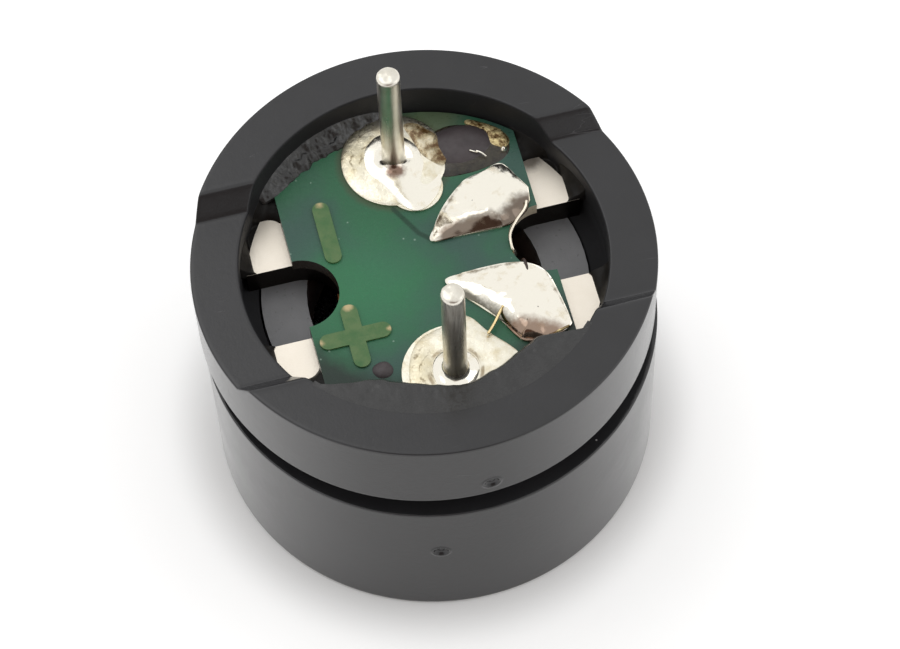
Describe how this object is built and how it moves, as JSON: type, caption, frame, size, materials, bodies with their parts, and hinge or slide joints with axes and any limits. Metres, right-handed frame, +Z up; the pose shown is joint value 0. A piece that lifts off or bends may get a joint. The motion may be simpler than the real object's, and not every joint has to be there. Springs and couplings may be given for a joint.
{
  "type": "magnetic buzzer",
  "caption": "Round sealed magnetic buzzer in a two-piece case, with a potted round circuit board, solder joints and straight pins on one side and a sound hole on the other.",
  "frame": {"origin": "centre of the sound face, on which the part rests", "axes": "+Z up, from the sound face towards the tips of the pins; X along the channel between the standoffs; Y through both pins, with the negative pin at +Y"},
  "size_m": [0.0121, 0.012, 0.0119],
  "materials": {
    "case": "moulded black plastic with a satin skin",
    "plate": "nickel-plated steel, satin",
    "iron": "bare soft iron",
    "ferrite": "matte sintered ferrite",
    "spring_steel": "thin rolled steel",
    "board": "green solder mask over laminate",
    "foil": "tinned copper",
    "masked_foil": "copper under green solder mask",
    "pin": "tinned, drawn wire",
    "solder": "bright solder with flux residue",
    "copper_wire": "enamelled copper",
    "epoxy": "black epoxy, glossy"
  },
  "bodies": {
    "root": {"sound_cover": "case", "base_housing": "case", "base_plate": "plate", "iron_core": "iron", "coil_winding": "copper_wire", "ring_magnet": "ferrite", "diaphragm": "spring_steel", "diaphragm_weight": "iron", "circuit_board": "board", "pad_negative": "foil", "pad_positive": "foil", "pad_coil_start": "foil", "pad_coil_end": "foil", "minus_mark": "masked_foil", "plus_mark": "masked_foil", "pin_negative": "pin", "pin_positive": "pin", "solder_negative": "solder", "solder_positive": "solder", "solder_coil_start": "solder", "solder_coil_end": "solder", "coil_lead_start": "copper_wire", "coil_lead_end": "copper_wire", "potting_back": "epoxy", "potting_front": "epoxy", "epoxy_drop_large": "epoxy", "epoxy_drop_small": "epoxy"}
  },
  "joints": []
}
